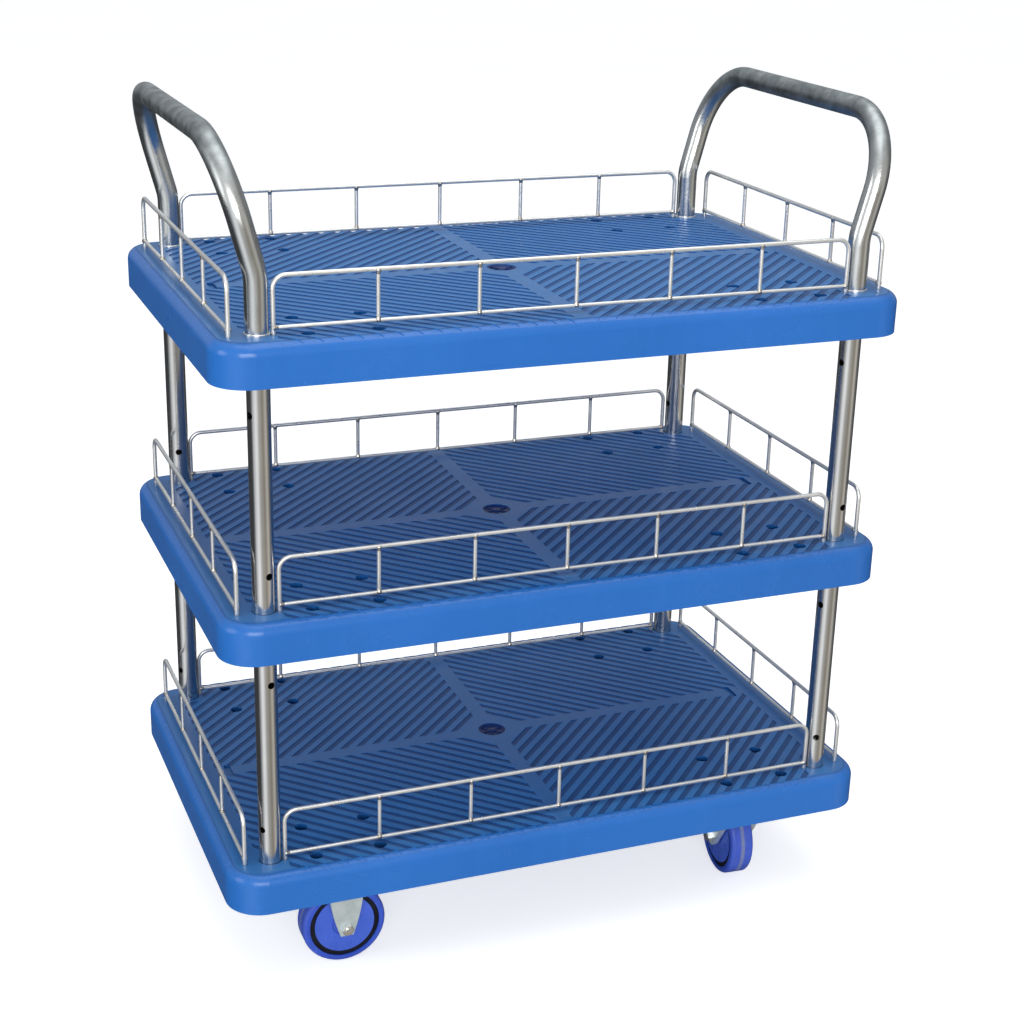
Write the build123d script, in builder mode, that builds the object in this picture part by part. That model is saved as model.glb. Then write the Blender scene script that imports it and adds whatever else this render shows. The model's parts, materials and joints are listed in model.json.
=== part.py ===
from build123d import *
import os
from math import cos, radians, sin, sqrt

os.makedirs("parts", exist_ok=True)

# Three-tier stock cart: moulded decks, steel tube posts and handles, wire guard rails, four castors.
# Millimetres. Origin on the floor under the middle of the cart, X along the decks, Z up.

# Decks: three identical mouldings, open underneath
deck_length = 804.0
deck_width = 516.0
deck_depth = 47.0
deck_wall = 4.0
deck_skin = 4.0
deck_corner_radius = 42.0
deck_edge_radius = 14.0
tier_pitch = 305.0
stiffener_thickness = 3.0
stiffener_depth = 14.0
cross_stiffener_pitch = 125.0
long_stiffener_offset = 90.0

# Tread pattern: diagonal grooves round the middle of each deck, with plain bands between
groove_pitch = 15.0
groove_width = 7.0
groove_depth = 0.8
groove_end_margin = 40.0
groove_side_margin = 5.0
plain_band = 20.0
plain_diamond = 48.0
corner_pad = 18.0
cap_diameter = 34.0
cap_recess = 3.0
cap_thickness = 2.4
cap_clearance = 0.3
slot_inset = 55.0
slot_length = 30.0
slot_width = 8.0
slot_depth = 3.0

# Posts, handles and what screws them together through the decks
tube_diameter = 25.0
tube_wall = 1.5
post_inset_x = 52.0
post_inset_y = 39.0
post_boss_diameter = 40.0
post_boss_depth = 40.0
seat_depth_above = 3.0
seat_depth_below = 2.0
seat_clearance = 0.5
stud_diameter = 12.0
stud_clearance = 0.3
plug_length = 20.0
stud_end_gap = 2.0
turning_hole_diameter = 8.0
turning_hole_inset = 46.0
handle_height = 195.0
handle_bend_height = 62.0
handle_lean = 35.0
handle_bend_radius = 60.0
handle_corner_radius = 85.0
ring_rise = 2.5
ring_overhang = 1.3
foot_head_width = 18.0
foot_head_height = 7.0
foot_washer_diameter = 24.0

# Guard rails: a bent wire hoop, a low wire and upright bars, welded
rail_wire = 5.0
rail_bar = 4.5
rail_height = 61.0
rail_low_wire_height = 7.0
rail_corner_radius = 14.0
rail_leg_depth = 22.0
rail_hole_clearance = 0.3
rail_boss_wall = 3.5
rail_post_gap = 1.0
side_rail_inset = 34.0
end_rail_inset = 22.0
end_rail_leg_inset = 37.0
side_rail_bays = 6
end_rail_bays = 4

# Castors: plate, fork and wheel
wheel_diameter = 100.0
wheel_width = 30.0
tread_thickness = 8.0
tread_edge_radius = 5.0
ring_width = 6.0
ring_face_recess = 2.0
hub_face_recess = 0.6
hub_dish_diameter = 30.0
hub_dish_depth = 1.5
axle_diameter = 12.0
axle_running_clearance = 0.05
hub_boss_diameter = 15.0
hub_boss_gap = 0.5
wheel_side_gap = 7.0
leg_thickness = 2.5
leg_flange_depth = 5.0
leg_end_width = 15.0
leg_end_drop = 10.0
fixed_leg_top_width = 42.0
crown_gap = 16.0
crown_thickness = 3.0
crown_length = 56.0
race_height = 8.0
race_radius = 21.0
race_skirt_radius = 28.0
race_skirt_wall = 3.0
race_skirt_gap = 0.5
ball_count = 14
ball_clearance = 0.2
kingpin_diameter = 12.0
kingpin_head_diameter = 22.0
kingpin_head_height = 3.0
kingpin_running_clearance = 0.05
swivel_trail = 26.0
plate_thickness = 3.0
plate_length = 100.0
plate_width = 88.0
plate_corner_radius = 8.0
castor_inset_x = 141.0
castor_inset_y = 63.0
castor_hole_pitch_x = 76.0
castor_hole_pitch_y = 67.0
castor_boss_diameter = 26.0
castor_boss_depth = 30.0
castor_boss_floor = 8.0
access_hole_diameter = 15.0
moulded_hole_diameter = 8.8
screw_diameter = 8.0
screw_clearance = 0.7
screw_head_diameter = 13.0
screw_head_height = 8.0
screw_socket_width = 6.0
screw_socket_depth = 4.0
screw_end = 2.0
nut_width = 13.0
nut_height = 6.5
axle_thread_diameter = 8.0
swivel_headings = {"front_right": 86.0, "back_right": -80.0}

# Heights and places that follow from the sizes above
castor_height = (
    wheel_diameter + crown_gap + crown_thickness + race_height + plate_thickness
)
bottom_top = castor_height + castor_boss_depth
deck_tops = {
    "bottom": bottom_top,
    "middle": bottom_top + tier_pitch,
    "top": bottom_top + 2 * tier_pitch,
}
half_length = deck_length / 2
half_width = deck_width / 2
post_x = half_length - post_inset_x
post_y = half_width - post_inset_y
castor_x = half_length - castor_inset_x
castor_y = half_width - castor_inset_y
seat_diameter = tube_diameter + 2 * seat_clearance
plug_diameter = tube_diameter - 2 * tube_wall
side_rail_y = half_width - side_rail_inset
side_leg_x = post_x - (tube_diameter + rail_wire) / 2 - rail_post_gap
end_rail_x = half_length - end_rail_inset
end_leg_y = half_width - end_rail_leg_inset
leg_gap = wheel_width + 2 * wheel_side_gap
axle_height = wheel_diameter / 2
plate_underside = castor_height - plate_thickness
crown_top = plate_underside - race_height
corners = {
    "front_left": (-1, -1),
    "front_right": (1, -1),
    "back_left": (-1, 1),
    "back_right": (1, 1),
}
post_points = [(sx * post_x, sy * post_y) for sx, sy in corners.values()]
castor_points = [(sx * castor_x, sy * castor_y) for sx, sy in corners.values()]
castor_holes = [
    (x + sx * castor_hole_pitch_x / 2, y + sy * castor_hole_pitch_y / 2)
    for x, y in castor_points
    for sx, sy in corners.values()
]
rail_legs = [(sx * side_leg_x, sy * side_rail_y) for sx, sy in corners.values()]
rail_legs += [(sx * end_rail_x, sy * end_leg_y) for sx, sy in corners.values()]


def save(piece, name):
    """Label a finished piece and write it under that name."""
    piece.label = name
    export_step(piece, f"parts/{name}.step")


def pillow(inset, depth):
    """The deck's outer block, set in all round by inset, with its rounded top edge. Top at z = -inset."""
    with BuildPart() as block:
        with BuildSketch(Plane.XY.offset(-deck_depth)):
            RectangleRounded(
                deck_length - 2 * inset,
                deck_width - 2 * inset,
                deck_corner_radius - inset,
            )
        extrude(amount=depth)
        fillet(
            block.faces().sort_by(Axis.Z)[-1].edges(), max(deck_edge_radius - inset, 1.0)
        )
    return block.part


def groove_pattern():
    """Diagonal grooves that follow the rounded edge, mirrored from one quarter of the deck."""
    field_x = half_length - groove_end_margin
    field_y = half_width - groove_side_margin
    stripe_length = 2 * (field_x + field_y)
    step = groove_pitch * sqrt(2)
    stripe_count = int((field_x + field_y - plain_diamond) / step) + 1
    with BuildPart() as grooves:
        with BuildSketch() as quarter:
            for index in range(stripe_count):
                reach = plain_diamond + (index + 0.5) * step
                with Locations((reach / 2, reach / 2)):
                    Rectangle(stripe_length, groove_width, rotation=-45)
            with Locations((plain_band / 2, plain_band / 2)):
                Rectangle(
                    field_x - plain_band / 2,
                    field_y - plain_band / 2,
                    align=Align.MIN,
                    mode=Mode.INTERSECT,
                )
            with Locations((post_x - corner_pad, post_y - corner_pad)):
                Rectangle(
                    half_length, half_width, align=Align.MIN, mode=Mode.SUBTRACT
                )
        extrude(amount=-deck_edge_radius)
        mirror(about=Plane.YZ)
        mirror(about=Plane.XZ)
        add(pillow(groove_depth, deck_depth - groove_depth), mode=Mode.SUBTRACT)
    return grooves.part


def deck_moulding():
    """One deck with its top surface at z = 0."""
    hollow = pillow(deck_wall, deck_depth - deck_skin)
    grooves = groove_pattern()
    inner_length = deck_length - 2 * deck_wall
    inner_width = deck_width - 2 * deck_wall
    cross_count = 2 * int((post_x - post_boss_diameter) / cross_stiffener_pitch) + 1
    with BuildPart() as deck:
        add(pillow(0, deck_depth))
        add(hollow, mode=Mode.SUBTRACT)
        # stiffening webs under the skin
        with BuildSketch(Plane.XY.offset(-deck_skin)):
            with Locations((0, long_stiffener_offset), (0, -long_stiffener_offset)):
                Rectangle(inner_length, stiffener_thickness)
            with GridLocations(cross_stiffener_pitch, 0, cross_count, 1):
                Rectangle(stiffener_thickness, inner_width)
        extrude(amount=-stiffener_depth)
        # bosses for the posts, the castors and the rail legs
        with BuildSketch(Plane.XY.offset(-deck_skin)):
            with Locations(*post_points):
                Circle(post_boss_diameter / 2)
        extrude(amount=deck_skin - post_boss_depth)
        with BuildSketch(Plane.XY.offset(-deck_skin)):
            with Locations(*castor_holes):
                Circle(castor_boss_diameter / 2)
        extrude(amount=deck_skin - castor_boss_depth)
        with BuildSketch(Plane.XY.offset(-deck_skin)):
            with Locations(*rail_legs):
                Circle(rail_wire / 2 + rail_hole_clearance + rail_boss_wall)
        extrude(amount=-rail_leg_depth)
        # tread pattern, centre recess and shallow end slots
        add(grooves, mode=Mode.SUBTRACT)
        with BuildSketch():
            Circle(cap_diameter / 2 + cap_clearance)
        extrude(amount=-cap_recess, mode=Mode.SUBTRACT)
        with BuildSketch():
            with Locations((slot_inset - half_length, 0), (half_length - slot_inset, 0)):
                SlotOverall(slot_length, slot_width, rotation=90)
        extrude(amount=-slot_depth, mode=Mode.SUBTRACT)
        # post seats above and below, with the stud hole between them
        with BuildSketch():
            with Locations(*post_points):
                Circle(seat_diameter / 2)
        extrude(amount=-seat_depth_above, mode=Mode.SUBTRACT)
        with BuildSketch(Plane.XY.offset(-post_boss_depth)):
            with Locations(*post_points):
                Circle(seat_diameter / 2)
        extrude(amount=seat_depth_below, mode=Mode.SUBTRACT)
        with BuildSketch():
            with Locations(*post_points):
                Circle(stud_diameter / 2 + stud_clearance)
        extrude(amount=-post_boss_depth, mode=Mode.SUBTRACT)
        # castor screw holes, reached from above
        with BuildSketch():
            with Locations(*castor_holes):
                Circle(access_hole_diameter / 2)
        extrude(amount=castor_boss_floor - castor_boss_depth, mode=Mode.SUBTRACT)
        with BuildSketch():
            with Locations(*castor_holes):
                Circle(moulded_hole_diameter / 2)
        extrude(amount=-castor_boss_depth, mode=Mode.SUBTRACT)
        # blind holes for the rail legs
        with BuildSketch():
            with Locations(*rail_legs):
                Circle(rail_wire / 2 + rail_hole_clearance)
        extrude(amount=-rail_leg_depth - rail_hole_clearance, mode=Mode.SUBTRACT)
    return deck.part


moulding = deck_moulding()
for level, height in deck_tops.items():
    with BuildPart() as deck:
        with Locations((0, 0, height)):
            add(moulding)
        if level == "bottom":
            # drilled out for the castor screws
            with BuildSketch(Plane.XY.offset(castor_height)):
                with Locations(*castor_holes):
                    Circle(screw_diameter / 2 + screw_clearance)
            extrude(amount=castor_boss_floor, mode=Mode.SUBTRACT)
    save(deck.part, f"deck_{level}")

with BuildPart() as centre_caps:
    for height in deck_tops.values():
        with BuildSketch(Plane.XY.offset(height - cap_recess)):
            Circle(cap_diameter / 2)
        extrude(amount=cap_thickness)
    chamfer(centre_caps.faces().filter_by(Plane.XY).sort_by(Axis.Z)[1::2].edges(), 0.5)
save(centre_caps.part, "centre_caps")

# Posts: tubes with a turning hole near each end, screwed on to the studs
post_bottom_gap = -seat_depth_above
post_top_gap = post_boss_depth - seat_depth_below
post_length = tier_pitch - post_top_gap - post_bottom_gap
post_base = {
    "lower": deck_tops["bottom"] + post_bottom_gap,
    "upper": deck_tops["middle"] + post_bottom_gap,
}
turning_hole_angles = {
    ("lower", "front_left"): (-145, -75),
    ("lower", "front_right"): (-115, -160),
    ("lower", "back_left"): (-150, -70),
    ("lower", "back_right"): (-95, -135),
    ("upper", "front_left"): (-70, -155),
    ("upper", "front_right"): (-78, -164),
    ("upper", "back_left"): (-100, -60),
    ("upper", "back_right"): (-168, -120),
}
for (tier, corner), angles in turning_hole_angles.items():
    sx, sy = corners[corner]
    x, y, base = sx * post_x, sy * post_y, post_base[tier]
    with BuildPart() as post:
        with BuildSketch(Plane((x, y, base))):
            Circle(tube_diameter / 2)
            Circle(tube_diameter / 2 - tube_wall, mode=Mode.SUBTRACT)
        extrude(amount=post_length)
        hole_heights = (base + turning_hole_inset, base + post_length - turning_hole_inset)
        for angle, height in zip(angles, hole_heights):
            across = (cos(radians(angle)), sin(radians(angle)), 0)
            with BuildSketch(Plane((x, y, height), z_dir=across)):
                Circle(turning_hole_diameter / 2)
            extrude(amount=tube_diameter, both=True, mode=Mode.SUBTRACT)
    save(post.part, f"post_{tier}_{corner}")

# Handles: one bent tube at each end of the top deck
handle_foot = deck_tops["top"] + ring_rise
handle_bar = deck_tops["top"] + handle_height
for side, sx in (("left", -1), ("right", 1)):
    foot_x, bar_x = sx * post_x, sx * (post_x + handle_lean)
    bend = deck_tops["top"] + handle_bend_height
    with BuildPart() as handle:
        with BuildLine() as bent_tube:
            FilletPolyline(
                (foot_x, -post_y, handle_foot),
                (foot_x, -post_y, bend),
                (bar_x, -post_y, handle_bar),
                (bar_x, post_y, handle_bar),
                (foot_x, post_y, bend),
                (foot_x, post_y, handle_foot),
                radius=[
                    handle_bend_radius,
                    handle_corner_radius,
                    handle_corner_radius,
                    handle_bend_radius,
                ],
            )
        with BuildSketch(Plane((foot_x, -post_y, handle_foot))):
            Circle(tube_diameter / 2)
            Circle(tube_diameter / 2 - tube_wall, mode=Mode.SUBTRACT)
        sweep(path=bent_tube.wires()[0])
    save(handle.part, f"handle_{side}")

# Foot rings between the handle legs and the top deck
with BuildPart() as handle_rings:
    with BuildSketch(Plane.XY.offset(deck_tops["top"])):
        with Locations(*post_points):
            Circle(tube_diameter / 2 + ring_overhang)
            Circle(stud_diameter / 2 + stud_clearance, mode=Mode.SUBTRACT)
    extrude(amount=ring_rise)
    fillet(
        handle_rings.faces().sort_by(Axis.Z)[-4:].edges().sort_by(SortBy.RADIUS)[-4:], 0.8
    )
    with BuildSketch(Plane.XY.offset(deck_tops["top"])):
        with Locations(*post_points):
            Circle(tube_diameter / 2)
            Circle(stud_diameter / 2 + stud_clearance, mode=Mode.SUBTRACT)
    extrude(amount=-seat_depth_above)
save(handle_rings.part, "handle_rings")

# Threaded plugs fixed inside every tube end
plug_starts = []
for base in post_base.values():
    plug_starts += [base, base + post_length - plug_length]
plug_starts.append(handle_foot)
with BuildPart() as tube_plugs:
    for start in plug_starts:
        with BuildSketch(Plane.XY.offset(start)):
            with Locations(*post_points):
                Circle(plug_diameter / 2)
                Circle(stud_diameter / 2, mode=Mode.SUBTRACT)
        extrude(amount=plug_length)
save(tube_plugs.part, "tube_plugs")

# Studs that join a tube above a deck to the tube below it
with BuildPart() as tier_studs:
    for level, start in (("middle", post_base["upper"]), ("top", handle_foot)):
        low = deck_tops[level] - post_top_gap - plug_length + stud_end_gap
        high = start + plug_length - stud_end_gap
        with BuildSketch(Plane.XY.offset(low)):
            with Locations(*post_points):
                Circle(stud_diameter / 2)
        extrude(amount=high - low)
save(tier_studs.part, "tier_studs")

# Foot bolts and washers that hold the lower posts down on the bottom deck
washer_top = deck_tops["bottom"] - post_top_gap
washer_underside = washer_top - seat_depth_below
with BuildPart() as foot_washers:
    with BuildSketch(Plane.XY.offset(washer_underside)):
        with Locations(*post_points):
            Circle(foot_washer_diameter / 2)
            Circle(stud_diameter / 2 + stud_clearance, mode=Mode.SUBTRACT)
    extrude(amount=seat_depth_below)
save(foot_washers.part, "foot_washers")

with BuildPart() as foot_bolts:
    with BuildSketch(Plane.XY.offset(washer_underside - foot_head_height)):
        with Locations(*post_points):
            RegularPolygon(foot_head_width / 2, 6, major_radius=False)
    extrude(amount=foot_head_height)
    with BuildSketch(Plane.XY.offset(washer_underside)):
        with Locations(*post_points):
            Circle(stud_diameter / 2)
    extrude(amount=post_base["lower"] + plug_length - stud_end_gap - washer_underside)
save(foot_bolts.part, "foot_bolts")


def rail(start, end, deck_top, bays):
    """A guard rail from one leg to the other, standing in its two holes."""
    along = (end - start).normalized()
    foot = Vector(0, 0, deck_top - rail_leg_depth)
    top = Vector(0, 0, deck_top + rail_height)
    low = Vector(0, 0, deck_top + rail_low_wire_height)
    span = (end - start).length
    with BuildPart() as frame:
        with BuildLine() as hoop:
            FilletPolyline(
                start + foot, start + top, end + top, end + foot, radius=rail_corner_radius
            )
        with BuildSketch(Plane(start + foot)):
            Circle(rail_wire / 2)
        sweep(path=hoop.wires()[0])
        with BuildSketch(Plane(start + low, z_dir=along)):
            Circle(rail_bar / 2)
        extrude(amount=span)
        bar_places = [start + low + along * (span * k / bays) for k in range(1, bays)]
        for place in bar_places:
            with BuildSketch(Plane(place)):
                Circle(rail_bar / 2)
            extrude(amount=rail_height - rail_low_wire_height)
    return frame.part


for level, height in deck_tops.items():
    for side, sy in (("front", -1), ("back", 1)):
        left = Vector(-side_leg_x, sy * side_rail_y, 0)
        right = Vector(side_leg_x, sy * side_rail_y, 0)
        save(rail(left, right, height, side_rail_bays), f"rail_{level}_{side}")
    for side, sx in (("left", -1), ("right", 1)):
        near = Vector(sx * end_rail_x, -end_leg_y, 0)
        far = Vector(sx * end_rail_x, end_leg_y, 0)
        save(rail(near, far, height, end_rail_bays), f"rail_{level}_{side}")

# Screws down through the bottom deck's castor bosses, and the nuts under the castor plates
screw_seat = deck_tops["bottom"] - castor_boss_depth + castor_boss_floor
nut_top = plate_underside
with BuildPart() as castor_screws:
    with BuildSketch(Plane.XY.offset(screw_seat)):
        with Locations(*castor_holes):
            Circle(screw_head_diameter / 2)
    extrude(amount=screw_head_height)
    with BuildSketch(Plane.XY.offset(screw_seat + screw_head_height)):
        with Locations(*castor_holes):
            RegularPolygon(screw_socket_width / 2, 6, major_radius=False)
    extrude(amount=-screw_socket_depth, mode=Mode.SUBTRACT)
    with BuildSketch(Plane.XY.offset(screw_seat)):
        with Locations(*castor_holes):
            Circle(screw_diameter / 2)
    extrude(amount=nut_top - nut_height - screw_end - screw_seat)
save(castor_screws.part, "castor_screws")

with BuildPart() as castor_nuts:
    with BuildSketch(Plane.XY.offset(nut_top)):
        with Locations(*castor_holes):
            RegularPolygon(nut_width / 2, 6, major_radius=False)
            Circle(screw_diameter / 2, mode=Mode.SUBTRACT)
    extrude(amount=-nut_height)
save(castor_nuts.part, "castor_nuts")


def castor_plate_sketch(center):
    """The castor plate's outline and its four screw holes, on the sketch in progress."""
    with Locations(center):
        RectangleRounded(plate_length, plate_width, plate_corner_radius)
        with GridLocations(castor_hole_pitch_x, castor_hole_pitch_y, 2, 2):
            Circle(screw_diameter / 2 + screw_clearance, mode=Mode.SUBTRACT)


def wheel_axes(center, heading):
    """The axle's centre, the travel direction and the direction along the axle."""
    travel = Vector(cos(radians(heading)), sin(radians(heading)), 0)
    across = Vector(-travel.Y, travel.X, 0)
    return Vector(center[0], center[1], axle_height), travel, across


def leg_edge(side, top_width, top_offset, top_height, inset):
    """Points down one edge of a fork leg, moved inwards by inset. The axle is at (0, 0)."""
    half_top = top_width / 2
    shape = ((1.0, 1.0), (0.55, 0.95), (0.15, 0.68))
    points = [
        (top_offset * up + side * (half_top * out - inset), top_height * up)
        for up, out in shape
    ]
    return points + [(side * (leg_end_width / 2 - inset), -leg_end_drop)]


def fork_legs(center, heading, top_width, top_offset, top_height):
    """Both legs of a fork, flanged towards the wheel, tapering from top_width to a blunt end."""
    axle, travel, across = wheel_axes(center, heading)
    size = (top_width, top_offset, top_height)
    with BuildPart() as legs:
        for side in (-1, 1):
            middle = axle + across * (side * (leg_gap + leg_thickness) / 2)
            plane = Plane(middle, x_dir=travel, z_dir=-across)
            with BuildSketch(plane):
                with BuildLine():
                    left = Spline(*leg_edge(-1, *size, 0))
                    right = Spline(*leg_edge(1, *size, 0))
                    Line(left @ 0, right @ 0)
                    Line(left @ 1, right @ 1)
                make_face()
                Circle(axle_thread_diameter / 2, mode=Mode.SUBTRACT)
            extrude(amount=leg_thickness / 2, both=True)
            with BuildSketch(plane):
                with BuildLine():
                    left = Spline(*leg_edge(-1, *size, 0))
                    right = Spline(*leg_edge(1, *size, 0))
                    Line(left @ 0, right @ 0)
                    Line(left @ 1, right @ 1)
                make_face()
                with BuildLine():
                    left = Spline(*leg_edge(-1, *size, leg_thickness))
                    right = Spline(*leg_edge(1, *size, leg_thickness))
                    Line(left @ 0, right @ 0)
                    Line(left @ 1, right @ 1)
                make_face(mode=Mode.SUBTRACT)
            extrude(amount=side * (leg_thickness / 2 + leg_flange_depth))
    return legs.part


def axle_bolt(center, heading):
    """A shouldered bolt through the fork and the wheel."""
    axle, travel, across = wheel_axes(center, heading)
    head_face = leg_gap / 2 + leg_thickness
    thread_end = head_face + nut_height + screw_end
    with BuildPart() as bolt:
        with BuildSketch(Plane(axle, z_dir=across)):
            Circle(axle_diameter / 2)
        extrude(amount=leg_gap / 2, both=True)
        with BuildSketch(Plane(axle, z_dir=across)):
            Circle(axle_thread_diameter / 2)
        extrude(amount=head_face)
        with BuildSketch(Plane(axle, z_dir=-across)):
            Circle(axle_thread_diameter / 2)
        extrude(amount=thread_end)
        with BuildSketch(Plane(axle + across * head_face, x_dir=travel, z_dir=across)):
            RegularPolygon(nut_width / 2, 6, major_radius=False)
        extrude(amount=nut_height * 0.8)
    return bolt.part


def axle_nut(center, heading):
    """The nut on the axle bolt's threaded end."""
    axle, travel, across = wheel_axes(center, heading)
    nut_face = axle - across * (leg_gap / 2 + leg_thickness)
    with BuildPart() as nut:
        with BuildSketch(Plane(nut_face, x_dir=travel, z_dir=-across)):
            RegularPolygon(nut_width / 2, 6, major_radius=False)
        extrude(amount=nut_height)
        chamfer(
            nut.faces().sort_by(Axis((0, 0, 0), tuple(across)))[0].edges(), nut_height / 8
        )
        with BuildSketch(Plane(nut_face, z_dir=-across)):
            Circle(axle_thread_diameter / 2)
        extrude(amount=nut_height, mode=Mode.SUBTRACT)
    return nut.part


def save_wheel(name, center, heading):
    """The tread, the black ring and the hub of one wheel, each turned about the axle."""
    axle, travel, across = wheel_axes(center, heading)
    section = Plane(axle, x_dir=(0, 0, 1), z_dir=tuple(travel))
    spin = Axis(axle, across)
    radius = wheel_diameter / 2
    tread_inner = radius - tread_thickness
    hub_outer = tread_inner - ring_width
    ring_half = wheel_width / 2 - ring_face_recess
    hub_half = wheel_width / 2 - hub_face_recess
    with BuildPart() as tread:
        with BuildSketch(section) as profile:
            with Locations(((radius + tread_inner) / 2, 0)):
                Rectangle(tread_thickness, wheel_width)
            fillet(profile.vertices().sort_by(Axis.X)[-2:], tread_edge_radius)
        revolve(axis=spin)
    save(tread.part, f"wheel_tread_{name}")
    with BuildPart() as ring:
        with BuildSketch(section):
            with Locations(((tread_inner + hub_outer) / 2, 0)):
                Rectangle(ring_width, 2 * ring_half)
        revolve(axis=spin)
    save(ring.part, f"wheel_ring_{name}")
    bore = axle_diameter / 2 + axle_running_clearance
    dish = hub_dish_diameter / 2
    boss = hub_boss_diameter / 2
    boss_half = leg_gap / 2 - hub_boss_gap
    with BuildPart() as hub:
        with BuildSketch(section):
            with BuildLine():
                Polyline(
                    (bore, boss_half),
                    (boss, boss_half),
                    (boss, hub_half - hub_dish_depth),
                    (dish - hub_dish_depth, hub_half - hub_dish_depth),
                    (dish, hub_half),
                    (hub_outer, hub_half),
                    (hub_outer, -hub_half),
                    (dish, -hub_half),
                    (dish - hub_dish_depth, hub_dish_depth - hub_half),
                    (boss, hub_dish_depth - hub_half),
                    (boss, -boss_half),
                    (bore, -boss_half),
                    close=True,
                )
            make_face()
        revolve(axis=spin)
    save(hub.part, f"wheel_hub_{name}")


# Fixed castors at the left end: plate and legs are one pressing
fixed = {name: signs for name, signs in corners.items() if signs[0] < 0}
for name, (sx, sy) in fixed.items():
    center = (sx * castor_x, sy * castor_y)
    with BuildPart() as fork:
        with BuildSketch(Plane.XY.offset(plate_underside)):
            castor_plate_sketch(center)
        extrude(amount=plate_thickness)
        add(
            fork_legs(
                center, 0, fixed_leg_top_width, 0, plate_underside - axle_height
            )
        )
    save(fork.part, f"castor_fork_{name}")
    save_wheel(name, center, 0)

fixed_axles = [(sx * castor_x, sy * castor_y) for sx, sy in fixed.values()]
with BuildPart() as fixed_axle_bolts:
    for center in fixed_axles:
        add(axle_bolt(center, 0))
save(fixed_axle_bolts.part, "fixed_axle_bolts")
with BuildPart() as fixed_axle_nuts:
    for center in fixed_axles:
        add(axle_nut(center, 0))
save(fixed_axle_nuts.part, "fixed_axle_nuts")

# Swivel castors at the right end
swivel = {name: signs for name, signs in corners.items() if signs[0] > 0}
swivel_points = [(sx * castor_x, sy * castor_y) for sx, sy in swivel.values()]
for name, (sx, sy) in swivel.items():
    center = Vector(sx * castor_x, sy * castor_y, 0)
    with BuildPart() as plate:
        with BuildSketch(Plane.XY.offset(plate_underside)):
            castor_plate_sketch((center.X, center.Y))
            with Locations((center.X, center.Y)):
                Circle(kingpin_diameter / 2, mode=Mode.SUBTRACT)
        extrude(amount=plate_thickness)
        with BuildSketch(Plane.XY.offset(plate_underside)):
            with Locations((center.X, center.Y)):
                Circle(race_skirt_radius + race_skirt_wall)
                Circle(race_skirt_radius, mode=Mode.SUBTRACT)
        extrude(amount=race_skirt_gap - race_height)
    save(plate.part, f"castor_plate_{name}")
    heading = swivel_headings[name]
    travel = Vector(cos(radians(heading)), sin(radians(heading)), 0)
    wheel_center = center + travel * swivel_trail
    wheel_point = (wheel_center.X, wheel_center.Y)
    crown_plane = Plane((center.X, center.Y, crown_top), x_dir=travel, z_dir=(0, 0, -1))
    with BuildPart() as fork:
        with BuildSketch(crown_plane):
            RectangleRounded(crown_length, leg_gap + 2 * leg_thickness, leg_thickness)
            Circle(kingpin_diameter / 2 + kingpin_running_clearance, mode=Mode.SUBTRACT)
        extrude(amount=crown_thickness)
        add(
            fork_legs(
                wheel_point,
                heading,
                crown_length - 2 * leg_thickness,
                -swivel_trail,
                crown_top - crown_thickness - axle_height,
            )
        )
    save(fork.part, f"castor_fork_{name}")
    save(axle_bolt(wheel_point, heading), f"axle_bolt_{name}")
    save(axle_nut(wheel_point, heading), f"axle_nut_{name}")
    save_wheel(name, wheel_point, heading)

with BuildPart() as kingpins:
    with BuildSketch(Plane.XY.offset(castor_height)):
        with Locations(*swivel_points):
            Circle(kingpin_diameter / 2)
    extrude(amount=crown_top - crown_thickness - kingpin_running_clearance - castor_height)
    with BuildSketch(
        Plane.XY.offset(crown_top - crown_thickness - kingpin_running_clearance)
    ):
        with Locations(*swivel_points):
            Circle(kingpin_head_diameter / 2)
    extrude(amount=-kingpin_head_height)
save(kingpins.part, "kingpins")

ball_radius = race_height / 2 - ball_clearance
with BuildPart() as swivel_balls:
    for x, y in swivel_points:
        with Locations((x, y, crown_top + race_height / 2)):
            with PolarLocations(race_radius, ball_count):
                Sphere(ball_radius)
save(swivel_balls.part, "swivel_balls")
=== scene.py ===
import json
import math
import random

import bmesh
import bpy
from mathutils import Matrix, Vector


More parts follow.
